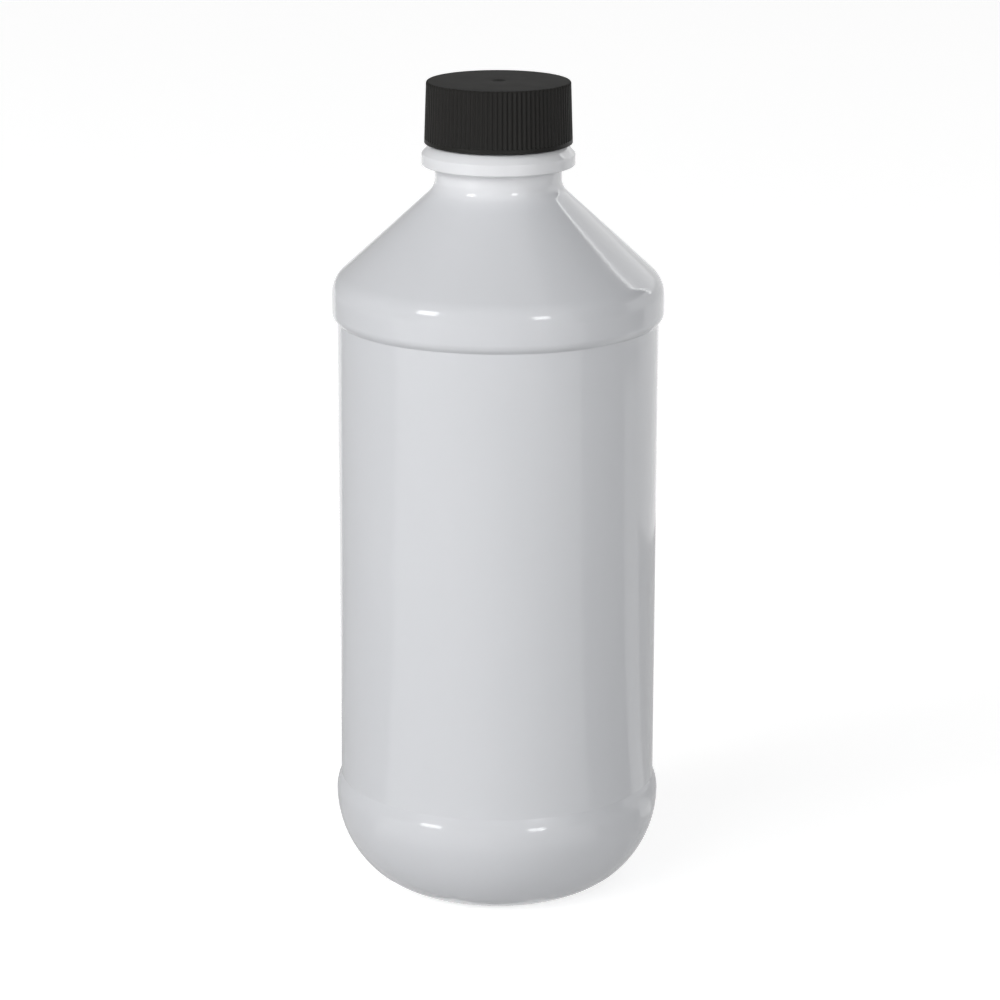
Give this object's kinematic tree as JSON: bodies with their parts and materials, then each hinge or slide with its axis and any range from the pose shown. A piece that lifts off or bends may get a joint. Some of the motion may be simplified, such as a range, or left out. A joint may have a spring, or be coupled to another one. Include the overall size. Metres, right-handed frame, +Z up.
{
  "type": "screw-cap bottle",
  "caption": "Round hollow plastic bottle with a recessed label panel and a neck ring, closed by a ribbed screw cap with a foam liner; the cap unscrews and lifts clear of the lip.",
  "frame": {"origin": "centre of the standing ring, on the surface that the bottle stands on", "axes": "+Z up the bottle's axis through the cap; the body is round, so X and Y are free, and the neck thread starts at +X"},
  "size_m": [0.07, 0.07, 0.1746],
  "materials": {
    "bottle_plastic": "white opaque plastic, blown against a polished mould, high gloss",
    "cap_plastic": "black moulded plastic, satin, ribbed side",
    "liner_foam": "white foam sheet, matt"
  },
  "bodies": {
    "bottle": {"bottle": "bottle_plastic"},
    "liner": {"cap_liner": "liner_foam"},
    "cap": {"cap": "cap_plastic"}
  },
  "joints": [
    {"name": "cap_lift", "type": "slide", "parent": "bottle", "child": "liner", "axis": [0, 0, 1], "range_m": [0, 0.01271]},
    {"name": "cap_turn", "type": "hinge", "parent": "liner", "child": "cap", "pos_m": [0, 0, 0.168], "axis": [0, 0, 1], "range_deg": [0, 1080]}
  ],
  "couplings": [
    {"joint": "cap_lift", "follows": "cap_turn", "m_per_rad": 0.00067376}
  ]
}
